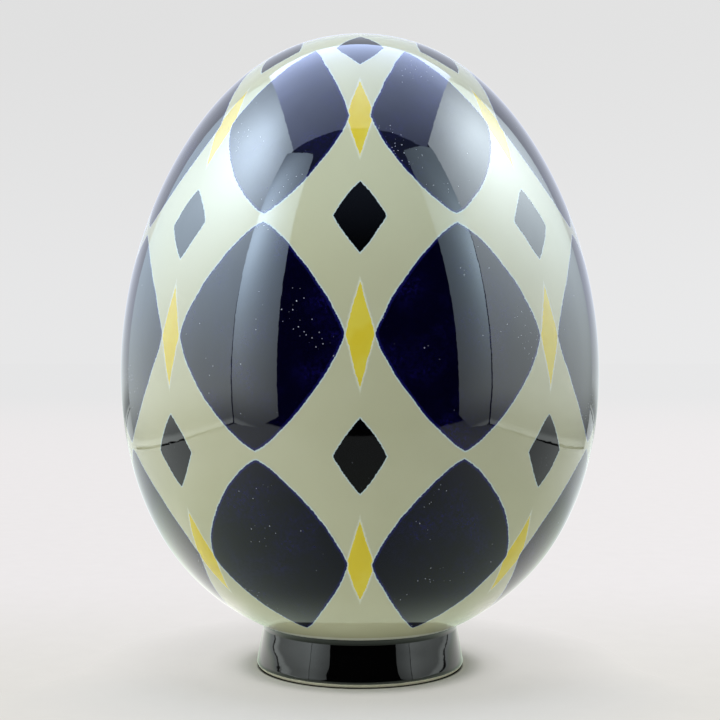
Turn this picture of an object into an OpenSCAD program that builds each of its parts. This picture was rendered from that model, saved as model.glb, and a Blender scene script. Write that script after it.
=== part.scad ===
// A hollow egg of glazed ceramic that stands on a low flared foot ring.
// The origin is the centre of the circle that the foot stands on, with +Z up, in millimetres.
//
// The egg's outline is given by its support distance: for a surface whose outward normal rises at
// angle a above the horizontal, h(a) is the distance from the egg's centre to the plane that touches
// it there. The point of contact is
//     r = h cos a - h' sin a      z = h sin a + h' cos a
// so a surface parallel to the outline, such as the inside of the wall, has the same h plus a constant.

/* [Egg] */
// Widest diameter of the egg
egg_width = 181; // [160:1:200]
// Height of the egg from its lower pole to its crown
egg_height = 231.5; // [210:0.5:255]
// Thickness of the cast wall
egg_wall = 5; // [3:0.25:8]
// Diameter of the vent pierced through the lower pole, which lets the air out in the kiln
vent_d = 3.5; // [2:0.25:12]
// Height of the lower pole above the surface that the foot stands on
pole_lift = 8.5; // [6:0.25:12]

/* [Shape of the egg, as shares of half its height] */
// How much slimmer the crown end is than the foot end
taper_share = 0.0221; // [0:0.0005:0.03]
// How full the flanks are between the poles and the waist
flank_share = 0.0083; // [0:0.0005:0.012]
// How much the crown end is rounded off, which leaves the shoulders fuller
crown_share = 0.0044; // [0:0.0002:0.006]

/* [Foot] */
// Outside diameter of the foot at its top, where its straight side would meet the egg
foot_top_d = 73.6; // [60:0.2:78]
// Outside diameter of the foot at its flared base
foot_base_d = 78.8; // [78:0.2:90]
// Thickness of the foot's wall
foot_wall = 6; // [5:0.25:9]
// Radius of the rounded outer corner at the base
foot_corner_r = 2; // [0.5:0.1:2.5]
// Radius of the rounded inner corner at the base
foot_inner_corner_r = 1.4; // [0.5:0.1:2]

/* [Joint of slip] */
// Thickness of the slip between the foot and the egg
slip_t = 0.8; // [0.3:0.1:1.5]
// How far the fillet of slip inside the foot reaches along the foot and along the egg
slip_fillet = 3; // [1:0.25:4]
// How far the cove of slip outside the foot reaches along the foot and along the egg
slip_cove = 0.8; // [0.5:0.1:2.5]

/* [Hidden] */
$fn = 120;

// Angle between one point of the egg's outline and the next
outline_step = 3;
// Angle between the points of a rounded corner
corner_step = 12;
// Points along the fillet and along the cove of slip
cove_points = 6;
// How hollow they are: 1 follows the two walls into their corner, 0 is a straight chamfer
cove_hollow_share = 0.7;

belly_r = egg_width / 2;
half_height = egg_height / 2;
taper = taper_share * half_height;
flank = flank_share * half_height;
crown = crown_share * half_height;
mean_r = (belly_r + half_height) / 2 + flank;
stretch = (belly_r - half_height) / 2;

foot_top_r = foot_top_d / 2;
foot_base_r = foot_base_d / 2;
seat_in_r = foot_top_r - foot_wall;
vent_r = vent_d / 2;

// Support distance of the egg for a normal that rises at angle a, and its rate of change
function support(a) = mean_r + stretch * cos(2 * a) - taper * sin(3 * a) - flank * cos(4 * a)
    - crown * sin(5 * a);
function support_rate(a) = -2 * stretch * sin(2 * a) - 3 * taper * cos(3 * a)
    + 4 * flank * sin(4 * a) - 5 * crown * cos(5 * a);

// Height of the egg's centre, from which the support distances are measured
centre_z = pole_lift + support(-90);

// Point of the outline at normal angle a, on the surface that lies out millimetres outside the egg
function egg_point(a, out) = let (h = support(a) + out, rate = support_rate(a))
    [h * cos(a) - rate * sin(a), centre_z + h * sin(a) + rate * cos(a)];
function foot_pole(out) = [0, centre_z - support(-90) - out];
function crown_pole(out) = [0, centre_z + support(90) + out];

// Outline from one pole to the other, and its part below the waist
function egg_side(out, last) = [for (a = [-90 + outline_step : outline_step : last]) egg_point(a, out)];
function egg_under(out) = concat([foot_pole(out)], egg_side(out, 0));
function under_z(r, out) = lookup(r, egg_under(out));
function on_under(r, out) = [r, under_z(r, out)];

// Points of the underside whose radius lies between r_in and r_out, from the inside outwards
function under_between(r_in, r_out, out) = concat([on_under(r_in, out)],
    [for (p = egg_under(out)) if (p[0] > r_in && p[0] < r_out) p], [on_under(r_out, out)]);
function reversed(points) = [for (i = [len(points) - 1 : -1 : 0]) points[i]];

// Arc about centre c from angle a0 to angle a1
function arc(c, r, a0, a1) = let (steps = ceil(abs(a1 - a0) / corner_step))
    [for (i = [0 : steps]) let (a = a0 + (a1 - a0) * i / steps) c + r * [cos(a), sin(a)]];

// Lean of the straight wall that runs from the point top and touches the circle of radius r about c,
// with the circle inside the wall for side 1 and outside it for side -1
function lean(top, c, r, side) = atan2(c[0] - top[0], top[1] - c[1]) + side * asin(r / norm(c - top));

// Corners and leans of the foot's section
outer_top = on_under(foot_top_r, slip_t);
inner_top = on_under(seat_in_r, slip_t);
outer_c = [foot_base_r - foot_corner_r, foot_corner_r];
inner_c = [foot_base_r - foot_wall + foot_inner_corner_r, foot_inner_corner_r];
outer_lean = lean(outer_top, outer_c, foot_corner_r, 1);
inner_lean = lean(inner_top, inner_c, foot_inner_corner_r, -1);

// Ends of the fillet inside the foot and of the cove outside it, on the foot's walls and on the egg
fillet_foot = inner_top + slip_fillet * [sin(inner_lean), -cos(inner_lean)];
fillet_r = seat_in_r - slip_fillet;
cove_foot = outer_top + slip_cove * [sin(outer_lean), -cos(outer_lean)];
cove_r = foot_top_r + slip_cove;

// Hollow curve from the point start to the point end, bent towards the corner between two walls
function cove(start, end, corner) = let (bend = cove_hollow_share * corner
        + (1 - cove_hollow_share) * (start + end) / 2)
    [for (i = [1 : cove_points]) let (t = i / (cove_points + 1))
        (1 - t) * (1 - t) * start + 2 * t * (1 - t) * bend + t * t * end];

// Shell of even thickness, with the vent at its lower pole
module egg_shell() {
    color("#dee2ca") rotate_extrude() polygon(concat(
        [on_under(vent_r, 0)],
        [for (p = egg_side(0, 90 - outline_step)) if (p[0] > vent_r) p],
        [crown_pole(0), crown_pole(-egg_wall)],
        reversed([for (p = egg_side(-egg_wall, 90 - outline_step)) if (p[0] > vent_r) p]),
        [on_under(vent_r, -egg_wall)]));
}

// Flared ring with rounded corners at its base and a seat that follows the underside of the egg
module foot_ring() {
    color("#15151c") rotate_extrude() polygon(concat(
        arc(outer_c, foot_corner_r, outer_lean, -90),
        arc(inner_c, foot_inner_corner_r, -90, -180 + inner_lean),
        under_between(seat_in_r, foot_top_r, slip_t)));
}

// Layer of slip that fires the foot to the egg, with a fillet inside the foot and a cove outside it
module luting_slip() {
    color("#24242b") rotate_extrude() polygon(concat(
        under_between(seat_in_r, foot_top_r, slip_t),
        [cove_foot],
        cove(cove_foot, on_under(cove_r, 0), outer_top),
        reversed(under_between(fillet_r, cove_r, 0)),
        cove(on_under(fillet_r, 0), fillet_foot, inner_top),
        [fillet_foot]));
}

egg_shell();
foot_ring();
luting_slip();
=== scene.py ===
"""Looks of a footed ceramic egg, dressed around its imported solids.

The egg is a hollow cast shell under a clear glossy glaze. It is painted with rows of cobalt
lozenges, with slim yellow ones where their side points meet and small black ones on the ivory
between the rows. It stands on a low flared foot glazed black, which slip fires to the egg.

Lengths are in metres. The origin is the centre of the circle that the foot stands on, +Z is up.
"""

import logging
import math
from dataclasses import dataclass, field
from enum import Enum

import bpy
import numpy as np
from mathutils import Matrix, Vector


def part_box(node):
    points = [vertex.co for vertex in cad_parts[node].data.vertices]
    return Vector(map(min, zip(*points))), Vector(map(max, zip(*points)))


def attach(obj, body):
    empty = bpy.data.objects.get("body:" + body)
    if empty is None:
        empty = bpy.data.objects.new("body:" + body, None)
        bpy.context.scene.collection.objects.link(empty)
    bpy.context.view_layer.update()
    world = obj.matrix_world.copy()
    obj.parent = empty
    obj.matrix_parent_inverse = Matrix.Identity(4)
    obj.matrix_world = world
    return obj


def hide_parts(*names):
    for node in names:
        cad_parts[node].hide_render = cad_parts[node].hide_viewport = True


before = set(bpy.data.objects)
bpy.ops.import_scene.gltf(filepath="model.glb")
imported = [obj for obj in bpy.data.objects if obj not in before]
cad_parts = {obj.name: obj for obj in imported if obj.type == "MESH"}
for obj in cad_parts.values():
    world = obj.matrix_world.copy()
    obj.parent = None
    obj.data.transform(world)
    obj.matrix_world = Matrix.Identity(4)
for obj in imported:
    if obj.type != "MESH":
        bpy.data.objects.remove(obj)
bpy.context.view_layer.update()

MM = 0.001
UM = 1e-6
FLOAT, COLOUR = "NodeSocketFloat", "NodeSocketColor"
log = logging.getLogger("ceramic_egg")

Colour = tuple[float, float, float]
Pair = tuple[float, float]
Socket = bpy.types.NodeSocket
Node = bpy.types.Node


def rgba(colour: Colour) -> tuple[float, float, float, float]:
    """The colour with full alpha, as a colour socket takes it."""
    return (*colour, 1.0)


class Slot(Enum):
    """Names of material slots for the pieces, which nothing here applies."""

    EGG = "egg_glaze"
    FOOT = "foot_glaze"
    SLIP = "joint_slip"


# Shapes


@dataclass
class EggOutline:
    """Outline of the egg, given by its support distance.

    For a surface whose outward normal rises at angle a above the horizontal, h(a) is the distance
    from the egg's centre to the plane that touches it there:
        h(a) = mean + stretch cos 2a - taper sin 3a - flank cos 4a - crown sin 5a
    and the point of contact is r = h cos a - h' sin a, z = centre + h sin a + h' cos a.
    A parallel surface has the same h plus a constant.
    """

    belly_r: float
    half_height: float
    pole_z: float
    taper_share: float = 0.0221
    flank_share: float = 0.0083
    crown_share: float = 0.0044

    def __post_init__(self) -> None:
        """Works out the terms of the series and the height of the centre."""
        self.taper = self.taper_share * self.half_height
        self.flank = self.flank_share * self.half_height
        self.crown = self.crown_share * self.half_height
        self.mean = (self.belly_r + self.half_height) / 2 + self.flank
        self.stretch = (self.belly_r - self.half_height) / 2
        self.centre_z = self.pole_z + self.half_height - self.taper + self.crown

    def points(self, angles: np.ndarray, out: float = 0.0) -> np.ndarray:
        """Points of the outline.

        Args:
            angles: Angles of the outward normal above the horizontal, in radians.
            out: How far the surface lies outside the egg.

        Returns:
            One (r, z) row for each angle.
        """
        support = (self.mean + self.stretch * np.cos(2 * angles) - self.taper * np.sin(3 * angles)
                   - self.flank * np.cos(4 * angles) - self.crown * np.sin(5 * angles) + out)
        rate = (-2 * self.stretch * np.sin(2 * angles) - 3 * self.taper * np.cos(3 * angles)
                + 4 * self.flank * np.sin(4 * angles) - 5 * self.crown * np.cos(5 * angles))
        r = support * np.cos(angles) - rate * np.sin(angles)
        z = self.centre_z + support * np.sin(angles) + rate * np.cos(angles)
        return np.stack([r, z], axis=1)

    def angle_at(self, r: float, out: float = 0.0) -> float:
        """Normal angle of the point of the underside at radius r, by looking back along the curve."""
        angles = np.radians(np.linspace(-90, 0, 901))
        return float(np.interp(r, self.points(angles, out)[:, 0], angles))

    def under(self, r_in: float, r_out: float, out: float, count: int) -> np.ndarray:
        """Points of the underside from radius r_in to radius r_out, at even steps of angle."""
        angles = np.linspace(self.angle_at(r_in, out), self.angle_at(r_out, out), count)
        return self.points(angles, out)

    def meridian(self, heights: np.ndarray) -> np.ndarray:
        """Length along the outline from the lower pole.

        Args:
            heights: Heights at which it is wanted.

        Returns:
            The length to each of them.
        """
        angles = np.radians(np.linspace(-90, 90, 1801))
        curve = self.points(angles)
        steps = np.hypot(*np.diff(curve, axis=0).T)
        return np.interp(heights, curve[:, 1], np.concatenate([[0.0], np.cumsum(steps)]))


def arc(centre: Pair, r: float, start: float, end: float, count: int) -> np.ndarray:
    """Points of a circle's arc in the (r, z) plane.

    Args:
        centre: Centre of the circle.
        r: Its radius.
        start: Angle of the first point, in degrees.
        end: Angle of the last point, in degrees.
        count: Number of points.

    Returns:
        One (r, z) row for each point.
    """
    t = np.radians(np.linspace(start, end, count))
    return np.stack([centre[0] + r * np.cos(t), centre[1] + r * np.sin(t)], axis=1)


def hollow_curve(start: np.ndarray, end: np.ndarray, corner: np.ndarray, hollow: float,
                 count: int) -> np.ndarray:
    """Quadratic curve from start to end, bent towards the corner between two walls.

    Its control point is hollow times the corner plus the rest times the middle of the chord.

    Args:
        start: First point.
        end: Last point.
        corner: Where the two walls meet.
        hollow: 1 bends right into the corner, 0 is a straight chamfer.
        count: Number of points, the ends included.

    Returns:
        One (r, z) row for each point.
    """
    bend = hollow * corner + (1 - hollow) * (start + end) / 2
    t = np.linspace(0, 1, count)[:, None]
    return (1 - t) ** 2 * start + 2 * t * (1 - t) * bend + t ** 2 * end


def straight(start: np.ndarray, end: np.ndarray, step: float) -> np.ndarray:
    """Points of a straight wall, a step apart or less, without its two ends."""
    return np.linspace(start, end, math.ceil(float(np.hypot(*(end - start))) / step) + 1)[1:-1]


def revolve(name: str, profile: np.ndarray, around: int, closed: bool) -> bpy.types.Object:
    """Turns a profile about the Z axis.

    Grid point (i, j) is (r_i cos t_j, r_i sin t_j, z_i), with t_j = 2 pi j / around. A closed
    profile joins its last ring to its first. An open one starts and ends on the axis, where a
    single point closes it. Faces are turned so that the enclosed volume comes out positive.

    Args:
        name: Name of the new piece.
        profile: One (r, z) row for each ring.
        around: Number of points in a ring.
        closed: Whether the profile is a closed loop.

    Returns:
        The new object, smooth shaded, at the origin.
    """
    rings = profile if closed else profile[1:-1]
    t = 2 * np.pi * np.arange(around) / around
    grid = np.stack([np.outer(rings[:, 0], np.cos(t)), np.outer(rings[:, 0], np.sin(t)),
                     np.repeat(rings[:, 1:], around, axis=1)], axis=2).reshape(-1, 3)
    index = np.arange(len(grid)).reshape(len(rings), around)
    below, above = (index, np.roll(index, -1, axis=0)) if closed else (index[:-1], index[1:])
    quads = np.stack([below, np.roll(below, -1, axis=1), np.roll(above, -1, axis=1), above],
                     axis=2).reshape(-1, 4)
    faces = quads.tolist()
    triangles = np.concatenate([quads[:, [0, 1, 2]], quads[:, [0, 2, 3]]])
    if not closed:
        poles = np.array([[0.0, 0.0, profile[0, 1]], [0.0, 0.0, profile[-1, 1]]])
        first, last, top = index[0], index[-1], len(grid)
        caps = np.concatenate([
            np.stack([np.full(around, top), np.roll(first, -1), first], axis=1),
            np.stack([np.full(around, top + 1), last, np.roll(last, -1)], axis=1)])
        grid = np.concatenate([grid, poles])
        faces += caps.tolist()
        triangles = np.concatenate([triangles, caps])
    a, b, c = (grid[triangles[:, k]] for k in range(3))
    if np.einsum("ij,ij->i", a, np.cross(b, c)).sum() < 0:
        faces = [face[::-1] for face in faces]
    mesh = bpy.data.meshes.new(name)
    mesh.from_pydata(grid.tolist(), [], faces)
    mesh.polygons.foreach_set("use_smooth", np.ones(len(mesh.polygons), bool))
    mesh.update()
    piece = bpy.data.objects.new(name, mesh)
    bpy.context.scene.collection.objects.link(piece)
    return piece


# Shader trees


class Value:
    """A number, place or colour in a shader tree. Numbers take part in plain sums."""

    def __init__(self, graph: "Graph", socket: Socket) -> None:
        """Keeps the socket and the graph that its sums go into."""
        self.graph = graph
        self.socket = socket

    def __add__(self, other: object) -> "Value":
        """The sum."""
        return self.graph.math("ADD", self, other)

    def __sub__(self, other: object) -> "Value":
        """The difference."""
        return self.graph.math("SUBTRACT", self, other)

    def __rsub__(self, other: object) -> "Value":
        """What is left of the other."""
        return self.graph.math("SUBTRACT", other, self)

    def __mul__(self, other: object) -> "Value":
        """The product."""
        return self.graph.math("MULTIPLY", self, other)

    def __truediv__(self, other: object) -> "Value":
        """The ratio."""
        return self.graph.math("DIVIDE", self, other)

    def __rtruediv__(self, other: object) -> "Value":
        """The ratio of the other to this."""
        return self.graph.math("DIVIDE", other, self)

    def __pow__(self, other: object) -> "Value":
        """The power."""
        return self.graph.math("POWER", self, other)

    def __abs__(self) -> "Value":
        """The size without the sign."""
        return self.graph.math("ABSOLUTE", self)

    def between(self, low: object, high: object) -> "Value":
        """The same, held between two limits."""
        return self.graph.math("MINIMUM", self.graph.math("MAXIMUM", self, low), high)

    __radd__ = __add__


class Graph:
    """Short calls that add nodes to one shader tree."""

    def __init__(self, tree: bpy.types.NodeTree) -> None:
        """Keeps the tree that the nodes go into."""
        self.tree = tree

    def put(self, target: Socket, value: object) -> None:
        """Gives an input what it takes.

        Args:
            target: The input.
            value: A value or a node, whose first output is linked, or what the input itself is set to.
        """
        if isinstance(value, (Value, Node)):
            socket = value.socket if isinstance(value, Value) else value.outputs[0]
            self.tree.links.new(socket, target)
        else:
            target.default_value = rgba(value) if target.type == "RGBA" else value

    def node(self, kind: str, inputs: dict | None = None, **settings: object) -> Node:
        """Adds a node.

        Args:
            kind: Name of the node's type after ShaderNode.
            inputs: What each input is given, by its name or place.
            settings: The node's own settings.

        Returns:
            The new node.
        """
        made = self.tree.nodes.new("ShaderNode" + kind)
        for name, value in settings.items():
            setattr(made, name, value)
        for key, value in (inputs or {}).items():
            self.put(made.inputs[key], value)
        return made

    def out(self, node: Node, name: str | int = 0) -> Value:
        """One output of a node."""
        return Value(self, node.outputs[name])

    def group(self, tree: bpy.types.NodeTree, inputs: dict | None = None) -> Node:
        """Places a node group with its own values."""
        return self.node("Group", inputs, node_tree=tree)

    def math(self, operation: str, *values: object) -> Value:
        """Result of one sum."""
        return self.out(self.node("Math", dict(enumerate(values)), operation=operation))

    def step(self, value: Value, low: object, high: object) -> Value:
        """Rises smoothly from 0 at low to 1 at high."""
        return self.out(self.node("MapRange", {"Value": value, "From Min": low, "From Max": high},
                                  interpolation_type="SMOOTHSTEP"))

    def mix(self, factor: Value, first: object, second: object) -> Value:
        """Colour that goes from the first to the second as the factor goes from 0 to 1."""
        # The node's colours are its inputs 6 and 7 and its output 2.
        return self.out(self.node("Mix", {0: factor, 6: first, 7: second}, data_type="RGBA"), 2)

    def blend(self, value: Value, span: Pair, first: object, second: object) -> Value:
        """Colour that goes from the first to the second as the value goes through the span."""
        return self.mix(self.step(value, *span), first, second)

    def noise(self, place: Value, size: float, detail: float = 2.0, rough: float = 0.5) -> Value:
        """Cloudy value from 0 to 1 whose lumps are about size metres across."""
        return self.out(self.node("TexNoise", {"Vector": place, "Scale": 1 / size, "Detail": detail,
                                               "Roughness": rough}))

    def object_place(self) -> Value:
        """Place of the shaded point in the piece's own frame."""
        return self.out(self.node("TexCoord"), "Object")

    def split(self, place: Value) -> list[Value]:
        """The x, y and z of a place."""
        made = self.node("SeparateXYZ", {0: place})
        return [self.out(made, k) for k in range(3)]

    def off_axis(self, axes: list[Value]) -> Value:
        """Distance from the Z axis of a place given as its x, y and z."""
        return self.math("SQRT", axes[0] * axes[0] + axes[1] * axes[1])

    def attribute(self, name: str) -> Value:
        """The number written on the mesh under that name."""
        return self.out(self.node("Attribute", attribute_name=name), "Fac")

    def relief(self, height: Value) -> Node:
        """Normal bent by a height in metres."""
        return self.node("Bump", {"Height": height, "Distance": 1.0, "Strength": 1.0})

    def glow(self, colour: object, strength: object) -> Node:
        """Shader that gives off light."""
        return self.node("Emission", {"Color": colour, "Strength": strength})

    def either(self, factor: Value, first: Node, second: Node) -> Node:
        """Shader that goes from the first to the second as the factor goes from 0 to 1."""
        return self.node("MixShader", {0: factor, 1: first, 2: second})

    def surface(self, shader: Node) -> None:
        """Makes the shader the one that the material shows."""
        self.node("OutputMaterial", {"Surface": shader})


def new_group(name: str, takes: dict[str, object], gives: dict[str, str]
              ) -> tuple[bpy.types.NodeTree, Graph, dict[str, Value], Node]:
    """Starts a shader node group.

    Args:
        name: The group's name.
        takes: Value of each input to start with, a number or a colour.
        gives: Socket type of each output.

    Returns:
        The tree, its graph, the values of its inputs by name, and its output node.
    """
    tree = bpy.data.node_groups.new(name, "ShaderNodeTree")
    graph = Graph(tree)
    for key, value in takes.items():
        number = isinstance(value, (int, float))
        socket = tree.interface.new_socket(key, in_out="INPUT", socket_type=FLOAT if number else COLOUR)
        socket.default_value = value if number else rgba(value)
    for key, kind in gives.items():
        tree.interface.new_socket(key, in_out="OUTPUT", socket_type=kind)
    given = tree.nodes.new("NodeGroupInput")
    values = {key: graph.out(given, key) for key in takes}
    return tree, graph, values, tree.nodes.new("NodeGroupOutput")


class Effects:
    """Node groups that the finishes share, each built once."""

    def __init__(self) -> None:
        """Builds every group."""
        self.lozenges = self._lozenges()
        self.painted = self._painted()
        self.skin = self._skin()

    @staticmethod
    def _lozenges() -> bpy.types.NodeTree:
        """Distance to the edge of the nearest lozenge in rows round the egg, negative inside.

        With x the distance round from the lozenge's middle and y the distance along the meridian,
        the edge is where (|x / a|^p + |y / b|^p)^(1/p) = 1, for half width a, half height b and
        bow p, 1 for straight sides. That value less one, over the length of its gradient, is the
        distance near the edge.

        Returns:
            The group.
        """
        takes = {"Columns": 8.0, "Turn": 0.0, "First Row": 0.1, "Row Pitch": 0.1, "Last Row": 2.0,
                 "Half Width": 0.03, "Half Height": 0.04, "Bow": 1.25}
        tree, g, have, out = new_group("lozenges", takes, {"Distance": FLOAT})
        half_width, half_height, bow = have["Half Width"], have["Half Height"], have["Bow"]
        axes = g.split(g.object_place())
        column = g.math("ARCTAN2", axes[0], axes[1]) / (2 * math.pi) * have["Columns"] + have["Turn"]
        aside = column - g.math("ROUND", column)
        x = abs(aside * (g.off_axis(axes) * (2 * math.pi)) / have["Columns"])
        along = g.attribute("meridian") - have["First Row"]
        row = g.math("ROUND", along / have["Row Pitch"]).between(0.0, have["Last Row"])
        y = abs(along - row * have["Row Pitch"])
        u, v = x / half_width, y / half_height
        size = (u ** bow + v ** bow) ** (1.0 / bow)
        slope_x = (u / size) ** (bow - 1.0) / half_width
        slope_y = (v / size) ** (bow - 1.0) / half_height
        slope = g.math("MAXIMUM", g.math("SQRT", slope_x * slope_x + slope_y * slope_y), 1.0)
        g.put(out.inputs["Distance"], (size - 1.0) / slope)
        return tree

    @staticmethod
    def _painted() -> bpy.types.NodeTree:
        """One painted field over what lies under it.

        Inside, the colour goes from the fringe at the edge to the body of the field. Outside, the
        glaze next to the paint is bleached to a pale halo. The edge wanders a little.

        Returns:
            The group.
        """
        takes = {"Distance": 0.0, "Fringe Width": 1.0 * MM, "Halo Width": 0.45 * MM,
                 "Body": (0.0, 0.0, 0.0), "Fringe": (0.0, 0.0, 0.1), "Halo": (0.8, 0.8, 0.8),
                 "Under": (0.5, 0.5, 0.5)}
        tree, g, have, out = new_group("painted", takes, {"Colour": COLOUR, "Mask": FLOAT})
        place, edge, blur = g.object_place(), have["Distance"], 0.08 * MM
        for size, reach in ((0.9 * MM, 0.55 * MM), (9 * MM, 1.0 * MM)):
            edge = edge + (g.noise(place, size, 1.0) - 0.5) * reach
        inside = g.step(edge, blur, -blur)
        depth = (edge * -1.0 / have["Fringe Width"]).between(0.0, 1.0)
        body = g.blend(depth, (0.1, 1.0), have["Fringe"], have["Body"])
        halo = (1.0 - edge / have["Halo Width"]).between(0.0, 1.0)
        g.put(out.inputs["Colour"], g.mix(inside, g.mix(halo, have["Under"], have["Halo"]), body))
        g.put(out.inputs["Mask"], inside)
        return tree

    @staticmethod
    def _skin() -> bpy.types.NodeTree:
        """Fine relief of a fired glaze, in metres, and the pinholes in it.

        The relief is a slow swell, a ripple of a few millimetres, a fine orange peel and a dimple at
        each pinhole. Pinholes are the middles of some cells of a cell pattern: few anywhere, and most
        of the cells where a cloud gathers them. A pinhole's radius is a share of its cell.

        Returns:
            The group.
        """
        takes = {"Ripple": 1.0, "Pinholes": 1.0}
        tree, g, have, out = new_group("skin", takes, {"Height": FLOAT, "Pinholes": FLOAT})
        place = g.object_place()
        layers = ((24 * MM, 30 * UM), (3.4 * MM, 5.5 * UM), (1.3 * MM, 1.8 * UM))
        relief = sum(g.noise(place, size, 1.0) * height for size, height in layers)
        cell, cloud, dimple = 1.2 * MM, 26 * MM, 14 * UM
        few, most, least_r, more_r = 0.012, 0.85, 0.13, 0.13
        cells = g.node("TexVoronoi", {"Vector": place, "Scale": 1 / cell})
        lot = g.node("SeparateColor", {0: g.out(cells, "Color")})
        gathered = g.step(g.noise(place, cloud), 0.54, 0.67)
        there = g.math("LESS_THAN", g.out(lot, 0), (gathered * most + few) * have["Pinholes"])
        radius = g.out(lot, 1) * more_r + least_r
        hole = there * g.step(g.out(cells, "Distance"), radius, 0.0)
        g.put(out.inputs["Height"], relief * have["Ripple"] - hole * dimple)
        g.put(out.inputs["Pinholes"], hole)
        return tree


def new_material(name: str) -> tuple[bpy.types.Material, Graph]:
    """Starts a material with no nodes.

    Args:
        name: The material's name.

    Returns:
        The material and the graph of its tree.
    """
    material = bpy.data.materials.new(name)
    material.use_nodes = True
    material.node_tree.nodes.clear()
    return material, Graph(material.node_tree)


# Finishes


@dataclass(frozen=True)
class Lozenge:
    """One kind of painted lozenge, with the fringe inside its edge and the halo beside it.

    Its half width is in metres, plus a share of half the pitch of the columns.
    """

    half_width: float
    pitch_share: float
    half_height: float
    bow: float
    fringe_width: float
    halo_width: float
    fringe: Colour
    halo: Colour
    turn: float = 0.0
    rows_up: float = 0.0


@dataclass(frozen=True)
class EggGlaze:
    """Clear gloss over lozenges painted on an ivory body, in columns round it and rows up it.

    The ivory is cloudy, and paler and greener towards the crown as painted light from above. A pale
    line beside the foot is a painted highlight. The inside of the shell is bare.
    """

    columns: int = 8
    first_row: float = 89 * MM
    row_pitch: float = 78 * MM
    last_row: int = 2
    black_mark: Lozenge = Lozenge(8.5 * MM, 0.0, 12.5 * MM, 1.12, 0.5 * MM, 0.5 * MM,
                                  (0.006, 0.006, 0.007), (0.66, 0.82, 0.86), rows_up=0.5)
    yellow_mark: Lozenge = Lozenge(4.6 * MM, 0.0, 17 * MM, 1.0, 0.5 * MM, 0.7 * MM,
                                   (0.88, 0.72, 0.08), (0.84, 0.86, 0.74))
    cobalt_mark: Lozenge = Lozenge(0.0, 0.86, 37.5 * MM, 1.28, 1.2 * MM, 0.55 * MM,
                                   (0.010, 0.010, 0.105), (0.66, 0.82, 0.86), turn=0.5)
    black: Colour = (0.0012, 0.0012, 0.0014)
    yellow: Colour = (0.88, 0.72, 0.08)
    yellow_deep: Colour = (0.86, 0.67, 0.045)
    pool_size: float = 12 * MM
    cobalt: Colour = (0.0012, 0.001, 0.010)
    cobalt_bright: Colour = (0.006, 0.004, 0.062)
    cobalt_cloud: float = 17 * MM
    cobalt_grain: float = 1.1 * MM
    ivory: Colour = (0.645, 0.635, 0.42)
    ivory_deep: Colour = (0.615, 0.605, 0.39)
    ivory_cloud: float = 34 * MM
    # Painted light from above: the ivory is paler and greener on the upper part.
    ivory_painted_toplight: Colour = (0.675, 0.68, 0.455)
    painted_toplight_band: Pair = (130 * MM, 175 * MM)
    # Painted highlight: a pale line on the ivory beside the foot.
    painted_junction_highlight: Colour = (0.84, 0.83, 0.68)
    junction_highlight_band: Pair = (42.2 * MM, 41.95 * MM)
    pinhole: Colour = (0.72, 0.75, 0.82)
    pinhole_on_ivory: float = 0.12
    biscuit: Colour = (0.62, 0.58, 0.48)
    roughness: float = 0.022
    biscuit_roughness: float = 0.522

    def material(self, effects: Effects) -> bpy.types.Material:
        """Builds the material.

        Args:
            effects: The shared node groups.

        Returns:
            The new material.
        """
        made, g = new_material("painted_egg_glaze")
        place = g.object_place()
        axes = g.split(place)
        pools = g.noise(place, self.pool_size)
        pooled = g.blend(pools, (0.4, 0.62), self.yellow, self.yellow_deep)
        cloud = (g.step(g.noise(place, self.cobalt_cloud, 4.0, 0.6), 0.42, 0.72)
                 * g.step(g.noise(place, self.cobalt_grain), 0.3, 0.75))
        depth = g.mix(cloud, self.cobalt, self.cobalt_bright)
        clouds = g.noise(place, self.ivory_cloud)
        colour = g.blend(clouds, (0.35, 0.65), self.ivory, self.ivory_deep)
        # Paler and greener towards the crown: painted light from above.
        colour = g.blend(axes[2], self.painted_toplight_band, colour, self.ivory_painted_toplight)
        # A pale ring beside the foot: a painted highlight.
        colour = g.blend(g.attribute("meridian"), self.junction_highlight_band, colour, self.painted_junction_highlight)
        half_pitch = g.off_axis(axes) * (math.pi / self.columns)
        for mark, body in ((self.black_mark, self.black), (self.yellow_mark, pooled),
                           (self.cobalt_mark, depth)):
            apart = g.group(effects.lozenges, {
                "Columns": self.columns, "Turn": mark.turn,
                "First Row": self.first_row + mark.rows_up * self.row_pitch,
                "Row Pitch": self.row_pitch, "Last Row": self.last_row,
                "Half Width": half_pitch * mark.pitch_share + mark.half_width,
                "Half Height": mark.half_height, "Bow": mark.bow})
            painted = g.group(effects.painted, {
                "Distance": apart, "Fringe Width": mark.fringe_width, "Halo Width": mark.halo_width,
                "Body": body, "Fringe": mark.fringe, "Halo": mark.halo, "Under": colour})
            colour = g.out(painted, "Colour")
        skin = g.group(effects.skin)
        shown = g.out(skin, "Pinholes") * (g.out(painted, "Mask") + self.pinhole_on_ivory)
        colour = g.mix(shown.between(0.0, 1.0), colour, self.pinhole)
        inside = g.attribute("inside")
        g.surface(g.node("BsdfPrincipled", {
            "Base Color": g.mix(inside, colour, self.biscuit),
            "Roughness": inside * (self.biscuit_roughness - self.roughness) + self.roughness,
            "Normal": g.relief(g.out(skin, "Height"))}))
        return made


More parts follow.
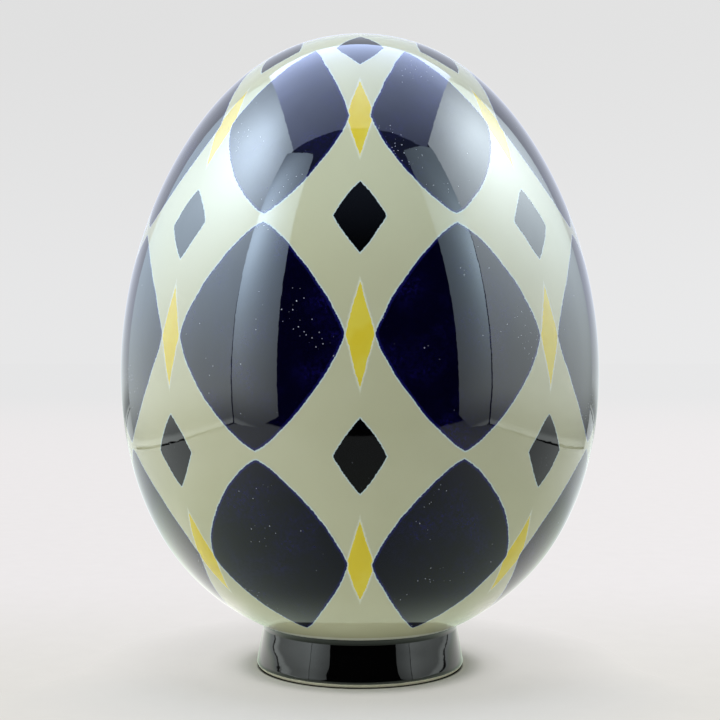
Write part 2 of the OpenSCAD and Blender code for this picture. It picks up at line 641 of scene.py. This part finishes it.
@dataclass(frozen=True)
class FootGlaze:
    """Glossy black glaze that stops short of the bare standing edge."""

    black: Colour = (0.0016, 0.0016, 0.0018)
    thin: Colour = (0.03, 0.027, 0.022)
    biscuit: Colour = (0.72, 0.70, 0.55)
    biscuit_shade: float = 0.88
    grain_size: float = 1.6 * MM
    line_z: float = 1.45 * MM
    line_wander: float = 0.35 * MM
    wander_size: float = 7 * MM
    line_blur: float = 0.05 * MM
    thick_from: float = 0.6 * MM
    roughness: float = 0.03
    biscuit_roughness: float = 0.63
    specular: float = 0.5
    turning_marks: float = 0.15 * MM
    turning_size: float = 7 * MM
    turning_squeeze: tuple[float, float, float] = (0.4, 0.4, 1.0)

    def material(self, effects: Effects) -> bpy.types.Material:
        """Builds the material.

        Args:
            effects: The shared node groups.

        Returns:
            The new material.
        """
        made, g = new_material("foot_black_glaze")
        place = g.object_place()
        wander = (g.noise(place, self.wander_size) - 0.5) * self.line_wander
        above = g.split(place)[2] - self.line_z + wander
        glazed = g.step(above, -self.line_blur, self.line_blur)
        glaze = g.blend(above, (self.line_blur, self.thick_from), self.thin, self.black)
        shaded = tuple(self.biscuit_shade * c for c in self.biscuit)
        bare = g.blend(g.noise(place, self.grain_size, 3.0), (0.3, 0.7), self.biscuit, shaded)
        skin = g.group(effects.skin, {"Ripple": 1.4, "Pinholes": 0.4})
        squeezed = g.node("Mapping", {"Vector": place, "Scale": self.turning_squeeze},
                          vector_type="POINT")
        turning = g.noise(g.out(squeezed), self.turning_size, 0.0)
        g.surface(g.node("BsdfPrincipled", {
            "Base Color": g.mix(glazed, bare, glaze),
            "Roughness": (1.0 - glazed) * (self.biscuit_roughness - self.roughness) + self.roughness,
            "Specular IOR Level": self.specular,
            "Normal": g.relief(turning * self.turning_marks + g.out(skin, "Height"))}))
        return made


@dataclass(frozen=True)
class SlipGlaze:
    """Black glaze over the slip, in patches of uneven depth."""

    black: Colour = (0.0016, 0.0016, 0.0018)
    patch_gain: float = 2.5
    patch_size: float = 5 * MM
    roughness: float = 0.05

    def material(self, effects: Effects) -> bpy.types.Material:
        """Builds the material.

        Args:
            effects: The shared node groups.

        Returns:
            The new material.
        """
        made, g = new_material("slip_black_glaze")
        lifted = tuple(self.patch_gain * c for c in self.black)
        patches = g.noise(g.object_place(), self.patch_size)
        skin = g.group(effects.skin, {"Ripple": 1.6, "Pinholes": 0.3})
        g.surface(g.node("BsdfPrincipled", {
            "Base Color": g.blend(patches, (0.3, 0.7), self.black, lifted),
            "Roughness": self.roughness, "Normal": g.relief(g.out(skin, "Height"))}))
        return made


# Pieces


@dataclass
class EggShell:
    """The hollow egg, with the vent pierced through its lower pole."""

    outline: EggOutline
    wall: float = 5 * MM
    vent_r: float = 1.75 * MM
    rim_r: float = 0.6 * MM
    rim_turn: float = 78.0
    rim_points: int = 6
    around: int = 288
    outside_rings: int = 220
    inside_rings: int = 60
    glaze: EggGlaze = field(default_factory=EggGlaze)

    def _surface(self, out: float, count: int) -> np.ndarray:
        """Profile of one face of the wall.

        Args:
            out: How far the face lies outside the egg.
            count: Number of points.

        Returns:
            Its points from the crown's pole down to the rim of the vent.
        """
        low = self.outline.angle_at(self.vent_r + self.rim_r, out)
        points = self.outline.points(np.linspace(math.pi / 2, low, count), out)
        points[0, 0] = 0.0
        return points

    def build(self) -> bpy.types.Object:
        """Turns the profile of the wall: outside down to the vent, up through it, and back inside.

        Returns:
            The shell, with its place along the meridian and its inside written on its vertices.
        """
        outer = self._surface(0.0, self.outside_rings)
        inner = self._surface(-self.wall, self.inside_rings)[::-1]
        rim, turn = self.vent_r + self.rim_r, self.rim_turn
        lip = arc((rim, outer[-1, 1] + self.rim_r), self.rim_r, 180 + turn, 180, self.rim_points)
        back = arc((rim, inner[0, 1] - self.rim_r), self.rim_r, 180, 180 - turn, self.rim_points)
        profile = np.concatenate([outer, lip, back, inner])
        shell = revolve("glazed_egg", profile, self.around, closed=False)
        inside = np.arange(len(profile)) >= len(outer) + len(lip)
        for name, rings in (("meridian", self.outline.meridian(profile[:, 1])), ("inside", inside)):
            values = np.concatenate([np.repeat(rings[1:-1], self.around), rings[[0, -1]]])
            attribute = shell.data.attributes.new(name, "FLOAT", "POINT")
            attribute.data.foreach_set("value", values.astype(np.float32))
        return shell

    def dress(self, shell: bpy.types.Object, effects: Effects) -> None:
        """Gives the shell its glaze, hides the solid that it stands for and hangs the shell on the root
        body.

        Args:
            shell: The shell.
            effects: The shared node groups.
        """
        shell.data.materials.append(self.glaze.material(effects))
        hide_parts("egg_shell")
        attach(shell, "root")


@dataclass
class Foot:
    """The flared foot and the slip that lutes it to the egg."""

    outline: EggOutline
    base_r: float
    top_r: float = 36.8 * MM
    wall: float = 6 * MM
    corner_r: float = 2 * MM
    inner_corner_r: float = 1.4 * MM
    slip_t: float = 0.8 * MM
    fillet: float = 3 * MM
    cove: float = 0.8 * MM
    hollow: float = 0.7
    around: int = 240
    step: float = 0.5 * MM
    outer_points: int = 14
    inner_points: int = 12
    seat_points: int = 14
    curve_points: int = 12
    egg_side_points: int = 20
    foot_glaze: FootGlaze = field(default_factory=FootGlaze)
    slip_glaze: SlipGlaze = field(default_factory=SlipGlaze)

    def __post_init__(self) -> None:
        """Works out the corners of the section and the lean of its two straight walls."""
        self.seat_in_r = self.top_r - self.wall
        self.outer_top = self.on_under(self.top_r, self.slip_t)
        self.inner_top = self.on_under(self.seat_in_r, self.slip_t)
        self.outer_c = np.array([self.base_r - self.corner_r, self.corner_r])
        self.inner_c = np.array([self.base_r - self.wall + self.inner_corner_r, self.inner_corner_r])
        self.outer_lean = self.lean(self.outer_top, self.outer_c, self.corner_r, 1)
        self.inner_lean = self.lean(self.inner_top, self.inner_c, self.inner_corner_r, -1)

    def on_under(self, r: float, out: float) -> np.ndarray:
        """Point at radius r of the surface that lies out below the egg's underside."""
        return self.outline.points(np.array([self.outline.angle_at(r, out)]), out)[0]

    @staticmethod
    def lean(top: np.ndarray, centre: np.ndarray, r: float, side: int) -> float:
        """Lean of the straight wall from top that touches the circle of radius r.

        Args:
            top: Upper end of the wall.
            centre: Centre of the circle at its base.
            r: Radius of the circle.
            side: 1 when the circle lies inside the wall, -1 when it lies outside.

        Returns:
            Angle in radians.
        """
        away = centre - top
        return math.atan2(away[0], -away[1]) + side * math.asin(r / float(np.hypot(*away)))

    def down_wall(self, top: np.ndarray, lean: float, reach: float) -> np.ndarray:
        """Point a given reach down a straight wall."""
        return top + reach * np.array([math.sin(lean), -math.cos(lean)])

    def build_ring(self) -> bpy.types.Object:
        """Turns the foot's section: outer corner, inner corner, and the seat under the egg.

        Returns:
            The foot.
        """
        lean_out, lean_in = math.degrees(self.outer_lean), math.degrees(self.inner_lean)
        outer = arc(self.outer_c, self.corner_r, lean_out, -90, self.outer_points)
        inner = arc(self.inner_c, self.inner_corner_r, -90, -180 + lean_in, self.inner_points)
        seat = self.outline.under(self.seat_in_r, self.top_r, self.slip_t, self.seat_points)
        section = []
        for bend, after in ((outer, inner), (inner, seat), (seat, outer)):
            section += [bend, straight(bend[-1], after[0], self.step)]
        return revolve("glazed_foot", np.concatenate(section), self.around, closed=True)

    def build_slip(self) -> bpy.types.Object:
        """Turns the slip's section: the layer in the seat, the cove outside, the fillet inside.

        Returns:
            The slip.
        """
        cove_foot = self.down_wall(self.outer_top, self.outer_lean, self.cove)
        cove_egg = self.on_under(self.top_r + self.cove, 0)
        fillet_foot = self.down_wall(self.inner_top, self.inner_lean, self.fillet)
        fillet_egg = self.on_under(self.seat_in_r - self.fillet, 0)
        seat = self.outline.under(self.seat_in_r, self.top_r, self.slip_t, self.seat_points)
        cove = hollow_curve(cove_foot, cove_egg, self.outer_top, self.hollow, self.curve_points)
        egg_side = self.outline.under(fillet_egg[0], cove_egg[0], 0, self.egg_side_points)[::-1][1:-1]
        fillet = hollow_curve(fillet_egg, fillet_foot, self.inner_top, self.hollow, self.curve_points)
        section = np.concatenate([seat, cove, egg_side, fillet])
        return revolve("luting_slip_glazed", section, self.around, closed=True)

    def dress(self, ring: bpy.types.Object, slip: bpy.types.Object, effects: Effects) -> None:
        """Gives both pieces their glaze, hides the solids that they stand for and hangs both on the root
        body.

        Args:
            ring: The foot.
            slip: The slip.
            effects: The shared node groups.
        """
        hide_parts("foot_ring")
        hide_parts("luting_slip")
        for piece, glaze, slot in ((ring, self.foot_glaze, Slot.FOOT), (slip, self.slip_glaze, Slot.SLIP)):
            piece.data.materials.append(glaze.material(effects))
            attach(piece, "root")


# Studio


class Facing(Enum):
    """Axis that a panel of the light tent stands square to."""

    X = 0
    Y = 1
    Z = 2


@dataclass(frozen=True)
class Panel:
    """One flat sheet of the light tent, with a lamp at some distance behind it.

    The sheet's own axes (u, v) are the two of x, y, z that it lies along. Its brightness is
        base + lean . (u, v) + peak / (1 + ((u - u0) / su)^2 + ((v - v0) / sv)^2)^1.5
    for a lamp behind (u0, v0), and never below 0. The tint shows in what glazes mirror. Matt
    surfaces get a share of that light, in one tint that most sheets share. A sheet that isn't
    mirrored lights matt surfaces alone, in its own tint.
    """

    name: str
    facing: Facing
    at: float
    outline: tuple[Pair, ...]
    base: float
    lean: Pair = (0.0, 0.0)
    peak: float = 0.0
    lamp: Pair = (0.0, 0.0)
    spread: Pair = (1.0, 1.0)
    tint: Colour = (1.0, 1.0, 1.0)
    share: float = 0.25
    mirrored: bool = True

    def corners(self) -> list[tuple[float, float, float]]:
        """The corners, in order round the sheet."""
        return [tuple(np.insert(np.array(spot), self.facing.value, self.at)) for spot in self.outline]


def box_outline(low: Pair, high: Pair) -> tuple[Pair, ...]:
    """The four corners of a rectangle, in order round it."""
    return (low, (high[0], low[1]), high, (low[0], high[1]))


def stage_sheet(name: str, corners: list[tuple[float, float, float]],
                material: bpy.types.Material) -> bpy.types.Object:
    """Adds a flat sheet that belongs to the studio.

    Args:
        name: Its name.
        corners: Its corners, in order round it.
        material: Its material.

    Returns:
        The sheet.
    """
    mesh = bpy.data.meshes.new(name)
    mesh.from_pydata(corners, [], [tuple(range(len(corners)))])
    sheet = bpy.data.objects.new(name, mesh)
    bpy.context.scene.collection.objects.link(sheet)
    sheet.data.materials.append(material)
    return sheet


@dataclass(frozen=True)
class TentCloth:
    """What the sheets of the tent have in common.

    Creases make the brightness waver. The hem waves just above the table. The low part is dimmer
    and nearly neutral, with a brighter band above the hem.
    """

    crease_size: float = 0.12
    crease_depth: float = 0.16
    wave_size: float = 0.05
    wave: float = 0.009
    hem_blur: float = 0.002
    dim_share: float = 0.5
    dim_band: Pair = (0.012, 0.09)
    hem_gain: float = 0.45
    hem_band: Pair = (0.018, 0.009)
    low_tint: Colour = (0.96, 1.04, 1.02)
    own_tint_z: float = 0.3
    matt_tint: Colour = (0.96, 1.0, 1.02)


@dataclass(frozen=True)
class Paper:
    """The pale floor as the camera sees it, and the light that it sends up to matt surfaces.

    Near the object it is matt paper that takes the contact shadow, with a painted contact shadow, a
    dark ring, under the foot's rounded edge. Farther off it fades to an even glow, sooner behind
    the object than in front of it, and at the horizon the glow has the backdrop's colour.
    """

    # Painted contact shadow: a dark ring in the floor's colour under the foot's edge.
    painted_contact_shadow: Colour = (0.02, 0.02, 0.018)
    contact_shadow_band: Pair = (38.7 * MM, 39.9 * MM)
    matt: Colour = (0.94, 0.93, 0.89)
    front: Colour = (0.80, 0.785, 0.75)
    middle: Colour = (0.89, 0.865, 0.87)
    middle_y: Pair = (-0.08, 0.20)
    back: Colour = (0.833, 0.833, 0.838)
    back_y: Pair = (0.5, 4.0)
    mottle_size: float = 0.012
    mottle: float = 0.05
    to_right: float = 0.04
    level: float = 0.985
    fades: tuple[tuple[float, Pair], ...] = ((0.52, (0.0385, 0.050)), (0.48, (0.05, 0.15)))
    behind_fade: float = 0.22
    behind_band: Pair = (0.045, 0.060)
    behind_y: Pair = (-0.06, 0.0)
    upward: Colour = (1.0, 1.0, 0.90)
    upward_level: float = 0.14

    def shader(self, g: Graph, place: Value, axes: list[Value], apart: Value) -> Node:
        """Builds the floor's look for all but mirrored rays.

        Args:
            g: Graph of the floor's material.
            place: The shaded point.
            axes: Its x, y and z.
            apart: Its distance from the middle of the foot.

        Returns:
            The shader's last node.
        """
        x, y = axes[:2]
        path = g.node("LightPath")
        seen = g.out(path, "Is Camera Ray")
        # The dark ring under the foot's rounded edge is a painted contact shadow.
        matt = g.node("BsdfDiffuse", {"Color": g.blend(apart, self.contact_shadow_band, self.painted_contact_shadow, self.matt)})
        mottle = g.noise(place, self.mottle_size, 4.0, 0.65) * self.mottle + (1 - self.mottle)
        level = x / (abs(y) + 0.5) * self.to_right + self.level
        even = g.blend(y, self.back_y, g.blend(y, self.middle_y, self.front, self.middle), self.back)
        glow = g.glow(even, mottle * level.between(0.0, 1.0))
        fade = g.step(apart, *self.behind_band) * g.step(y, *self.behind_y) * self.behind_fade
        for share, band in self.fades:
            fade = fade + g.step(apart, *band) * share
        both = g.either((seen * fade).between(0.0, 1.0), matt, glow)
        rest = 1.0 - (seen + g.out(path, "Is Glossy Ray"))
        return g.node("AddShader", {0: both, 1: g.glow(self.upward, rest * self.upward_level)})


@dataclass(frozen=True)
class Table:
    """The table inside the tent, as glazes mirror it.

    At (x, y) its brightness is
        middle + aside min(|x|, aside_to) + to_right x + to_back y
    and near_gain more close to the foot, all held between the two levels. Beside the foot, and no
    farther forward than a little before its middle, there is a further beside + beside_right x. The
    table ends at the tent's open front, and at the side sheets as far back as they go.
    """

    middle: float = 0.41
    aside: float = 2.7
    aside_to: float = 0.25
    to_right: float = -0.6
    to_back: float = 1.3
    near_gain: float = 0.3
    near_band: Pair = (0.07, 0.04)
    levels: Pair = (0.2, 1.2)
    beside: float = 0.6
    beside_right: float = -1.8
    beside_x: Pair = (0.042, 0.062)
    beside_y: Pair = (-0.035, 0.01)
    beside_band: Pair = (0.26, 0.08)
    side_edge: Pair = (0.405, 0.40)
    side_end: Pair = (0.34, 0.36)
    front_edge: Pair = (-0.375, -0.36)
    near_tint: Colour = (0.955, 1.12, 0.925)
    far_tint: Colour = (0.96, 1.035, 1.03)
    far_band: Pair = (0.12, 0.30)
    beside_tint: Colour = (1.0, 1.01, 0.96)

    def shader(self, g: Graph, x: Value, y: Value, apart: Value) -> Node:
        """Builds the table's glow.

        Args:
            g: Graph of the floor's material.
            x: How far right of the foot's middle the shaded point is.
            y: How far behind it.
            apart: How far from it.

        Returns:
            The glow's shader.
        """
        wide = abs(x)
        level = y * self.to_back + self.middle + wide.between(0.0, self.aside_to) * self.aside
        level = level + x * self.to_right + g.step(apart, *self.near_band) * self.near_gain
        beside = g.step(y, *self.beside_y) * g.step(apart, *self.beside_band)
        beside = beside * g.step(wide, *self.beside_x)
        level = level.between(*self.levels) + beside * (x * self.beside_right + self.beside)
        within = g.math("MAXIMUM", g.step(wide, *self.side_edge), g.step(y, *self.side_end))
        tint = g.blend(apart, self.far_band, self.near_tint, self.far_tint)
        return g.glow(g.mix(beside, tint, self.beside_tint),
                      level * (within * g.step(y, *self.front_edge)))


@dataclass(frozen=True)
class Backdrop:
    """The world, which differs for each kind of ray.

    The camera sees a pale backdrop, matt surfaces get an even fill, and glazes mirror a dark room
    with a faint ceiling.
    """

    low: Colour = (0.825, 0.825, 0.83)
    high: Colour = (0.77, 0.77, 0.77)
    rise: Pair = (0.0, 0.27)
    level: float = 0.98
    to_right: float = 0.045
    fill_tint: Colour = (0.93, 1.0, 1.02)
    fill: float = 0.26
    ceiling_tint: Colour = (0.7, 0.9, 1.4)
    ceiling: float = 0.2
    ceiling_rise: Pair = (0.5, 0.85)

    def build(self) -> None:
        """Makes it the scene's world."""
        world = bpy.data.worlds.new("backdrop")
        bpy.context.scene.world = world
        world.use_nodes = True
        world.node_tree.nodes.clear()
        g = Graph(world.node_tree)
        across, _, up = g.split(g.out(g.node("TexCoord"), "Generated"))
        level = (across * self.to_right + self.level).between(0.0, 1.0)
        ceiling = g.step(up, *self.ceiling_rise) * self.ceiling
        seen, fill, room = (
            g.node("Background", {"Color": colour, "Strength": strength})
            for colour, strength in ((g.blend(up, self.rise, self.low, self.high), level),
                                     (self.fill_tint, self.fill), (self.ceiling_tint, ceiling)))
        path = g.node("LightPath")
        rest = g.either(g.out(path, "Is Glossy Ray"), fill, room)
        g.node("OutputWorld", {"Surface": g.either(g.out(path, "Is Camera Ray"), rest, seen)})


@dataclass
class Studio:
    """Plain floor, light tent, pale world and camera."""

    horizon: float = 0.1166
    distance: float = 0.4974
    lens: float = 64.65
    sensor: float = 36.0
    floor_reach: float = 40.0
    mirror_band: Pair = (39.2 * MM, 40.2 * MM)
    cloth: TentCloth = field(default_factory=TentCloth)
    paper: Paper = field(default_factory=Paper)
    table: Table = field(default_factory=Table)
    backdrop: Backdrop = field(default_factory=Backdrop)
    panels: list[Panel] = field(default_factory=lambda: [
        Panel("tent_left", Facing.X, -0.40,
              ((-0.281, 0.0), (0.36, 0.0), (0.36, 0.88), (-0.32, 0.88), (-0.287, 0.35)),
              1.3, (-1.25, 0.9), 12.0, (-0.103, 0.611), (0.215, 0.292), (0.82, 0.995, 1.185), 0.10),
        Panel("tent_right", Facing.X, 0.40,
              ((-0.265, 0.0), (0.37, 0.0), (0.37, 0.88), (-0.28, 0.88), (-0.269, 0.35)),
              0.76, (-2.1, 1.9), 9.8, (-0.009, 0.566), (0.247, 0.287), (0.885, 1.013, 1.102), 0.10),
        Panel("tent_top", Facing.Z, 0.88, box_outline((-0.40, -0.32), (0.40, 0.45)),
              2.8, (-1.3, 4.0), tint=(0.75, 0.90, 1.35), share=0.05),
        Panel("flap_left", Facing.Y, -0.285,
              ((-0.397, 0.0), (-0.26, 0.015), (-0.18, 0.045), (-0.18, 0.60), (-0.19, 0.63),
               (-0.30, 0.72), (-0.394, 0.80)),
              0.0, (-1.3, 0.0), 11.9, (-0.364, 0.426), (0.152, 0.242), (0.785, 0.99, 1.225), 0.42),
        Panel("flap_right", Facing.Y, -0.27,
              ((0.397, 0.0), (0.28, 0.015), (0.225, 0.045), (0.205, 0.25), (0.175, 0.50),
               (0.165, 0.60), (0.17, 0.615), (0.28, 0.73), (0.394, 0.83)),
              0.0, (3.0, 1.0), 5.6, (0.403, 0.383), (0.127, 0.175), (0.80, 1.02, 1.18), 0.24),
        Panel("tent_back", Facing.Y, 0.95, box_outline((-1.5, 0.0), (1.5, 2.2)),
              1.08, tint=(0.90, 0.965, 1.135)),
        Panel("overhead", Facing.Z, 0.80, box_outline((-0.15, -0.38), (0.15, -0.08)),
              5.8, tint=(0.88, 1.01, 1.24), share=1.0, mirrored=False),
    ])

    def _sheet(self, panel: Panel) -> None:
        """Hangs one sheet of the tent, which lights and is mirrored but isn't seen itself.

        Args:
            panel: The sheet.
        """
        material, g = new_material(panel.name)
        sheet = stage_sheet(panel.name, panel.corners(), material)
        sheet.visible_camera = False
        sheet.visible_glossy = panel.mirrored
        cloth, place = self.cloth, g.object_place()
        axes = g.split(place)
        along = [axes[k] for k in range(3) if k != panel.facing.value]
        level: Value | float = panel.base
        reach: Value | float = 1.0
        for here, lean, lamp, spread in zip(along, panel.lean, panel.lamp, panel.spread):
            away = (here - lamp) / spread
            level, reach = here * lean + level, away * away + reach
        level = g.math("MAXIMUM", reach ** -1.5 * panel.peak + level, 0.0)
        crease = g.noise(place, cloth.crease_size, 3.0) * cloth.crease_depth
        wave = g.noise(place, cloth.wave_size, 3.0) * cloth.wave
        low = g.step(axes[2], *cloth.dim_band) * (1 - cloth.dim_share) + cloth.dim_share
        low = low + g.step(axes[2], *cloth.hem_band) * cloth.hem_gain
        low = low * g.step(axes[2] - wave, -cloth.hem_blur, 0.0)
        mirrored = g.out(g.node("LightPath"), "Is Glossy Ray")
        share = mirrored * (1 - panel.share) + panel.share
        shown = g.blend(axes[2], (0.0, cloth.own_tint_z), cloth.low_tint, panel.tint)
        matt = cloth.matt_tint if panel.mirrored else panel.tint
        level = level * (crease + (1 - cloth.crease_depth / 2)) * low * share
        g.surface(g.glow(g.mix(mirrored, matt, shown), level))

    def floor(self) -> None:
        """Lays the floor: the paper, and in its place the table for glazes clear of the foot."""
        reach = self.floor_reach
        material, g = new_material("pale_floor")
        corners = box_outline((-reach, -reach), (reach, reach))
        stage_sheet("floor", [(*corner, 0.0) for corner in corners], material)
        place = g.object_place()
        axes = g.split(place)
        apart = g.out(g.node("VectorMath", {0: place}, operation="LENGTH"), "Value")
        glossy = g.out(g.node("LightPath"), "Is Glossy Ray")
        g.surface(g.either(
            glossy * g.step(apart, *self.mirror_band), self.paper.shader(g, place, axes, apart),
            self.table.shader(g, axes[0], axes[1], apart)))

    def camera(self) -> None:
        """Stands the camera level in front of the egg, as far off as the photograph was taken."""
        lens = bpy.data.cameras.new("camera")
        lens.lens = self.lens
        lens.sensor_width = self.sensor
        camera = bpy.data.objects.new("camera", lens)
        camera.location = (0.0, -self.distance, self.horizon)
        camera.rotation_euler = (math.pi / 2, 0.0, 0.0)
        bpy.context.scene.collection.objects.link(camera)
        bpy.context.scene.camera = camera

    def build(self) -> None:
        """Sets the whole studio and the plain view transform."""
        self.camera()
        self.floor()
        for panel in self.panels:
            self._sheet(panel)
        self.backdrop.build()
        bpy.context.scene.view_settings.view_transform = "Standard"


def main() -> None:
    """Builds the studio and the pieces, in order."""
    logging.basicConfig(level=logging.INFO, format="%(name)s: %(message)s")
    Studio().build()
    effects = Effects()
    low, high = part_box("egg_shell")
    outline = EggOutline(belly_r=min(high.x, high.y), half_height=(high.z - low.z) / 2, pole_z=low.z)
    shell = EggShell(outline)
    egg = shell.build()
    shell.dress(egg, effects)
    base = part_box("foot_ring")[1]
    foot = Foot(outline, base_r=min(base.x, base.y))
    ring, slip = foot.build_ring(), foot.build_slip()
    foot.dress(ring, slip, effects)
    for piece in (egg, ring, slip):
        log.info("%s: %d vertices", piece.name, len(piece.data.vertices))


if __name__ == "__main__":
    main()
